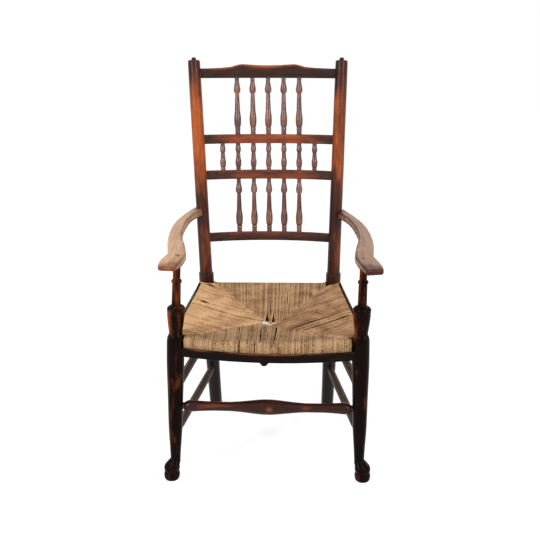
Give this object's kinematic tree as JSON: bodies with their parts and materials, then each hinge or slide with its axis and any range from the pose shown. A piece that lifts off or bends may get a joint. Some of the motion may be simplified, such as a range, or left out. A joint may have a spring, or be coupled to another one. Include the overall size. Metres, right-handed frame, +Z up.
{
  "type": "spindle back armchair",
  "caption": "Rush seated armchair with rows of turned spindles between bowed back rails, curved sawn arms, pad feet and a swelled front stretcher.",
  "frame": {"origin": "on the floor, under the middle of the chair's bounding box", "axes": "+Z up, the chair faces -Y, +X to the right of a viewer who looks at its front"},
  "size_m": [0.5831, 0.6025, 1.127],
  "materials": {
    "stained_ash_post": "dark reddish stain, worn to amber in the middle, waxed",
    "stained_ash_rail": "dark stain, worn along the upper edge, waxed",
    "stained_ash_spindle": "dark red-brown stain, waxed and glossy",
    "worn_ash_arm": "stain worn away by hands to pale honey wood",
    "dark_stained_leg": "near-black stain, satin",
    "dark_stained_stretcher": "near-black stain, worn in the middle",
    "unstained_seat_rail": "unstained riven wood, hidden under the rush",
    "dark_stained_slat": "near-black stain, worn upper edge",
    "dry_rush": "dry twisted rush, tan and straw"
  },
  "bodies": {
    "root": {"left_back_post": "stained_ash_post", "right_back_post": "stained_ash_post", "lowest_back_rail": "stained_ash_rail", "middle_back_rail": "stained_ash_rail", "upper_back_rail": "stained_ash_rail", "crest_rail": "stained_ash_rail", "top_spindle_1": "stained_ash_spindle", "top_spindle_2": "stained_ash_spindle", "top_spindle_3": "stained_ash_spindle", "top_spindle_4": "stained_ash_spindle", "top_spindle_5": "stained_ash_spindle", "middle_spindle_1": "stained_ash_spindle", "middle_spindle_2": "stained_ash_spindle", "middle_spindle_3": "stained_ash_spindle", "middle_spindle_4": "stained_ash_spindle", "middle_spindle_5": "stained_ash_spindle", "middle_spindle_6": "stained_ash_spindle", "middle_spindle_7": "stained_ash_spindle", "lower_spindle_1": "stained_ash_spindle", "lower_spindle_2": "stained_ash_spindle", "lower_spindle_3": "stained_ash_spindle", "lower_spindle_4": "stained_ash_spindle", "lower_spindle_5": "stained_ash_spindle", "left_arm": "worn_ash_arm", "right_arm": "worn_ash_arm", "left_front_leg": "dark_stained_leg", "right_front_leg": "dark_stained_leg", "left_lower_side_stretcher": "dark_stained_stretcher", "left_upper_side_stretcher": "dark_stained_stretcher", "right_lower_side_stretcher": "dark_stained_stretcher", "right_upper_side_stretcher": "dark_stained_stretcher", "back_stretcher": "dark_stained_stretcher", "front_stretcher": "dark_stained_stretcher", "front_seat_rail": "unstained_seat_rail", "left_seat_rail": "unstained_seat_rail", "right_seat_rail": "unstained_seat_rail", "back_seat_rail": "unstained_seat_rail", "front_edge_slat": "dark_stained_slat", "left_edge_slat": "dark_stained_slat", "right_edge_slat": "dark_stained_slat", "back_edge_slat": "dark_stained_slat", "rush_seat": "dry_rush"}
  },
  "joints": []
}
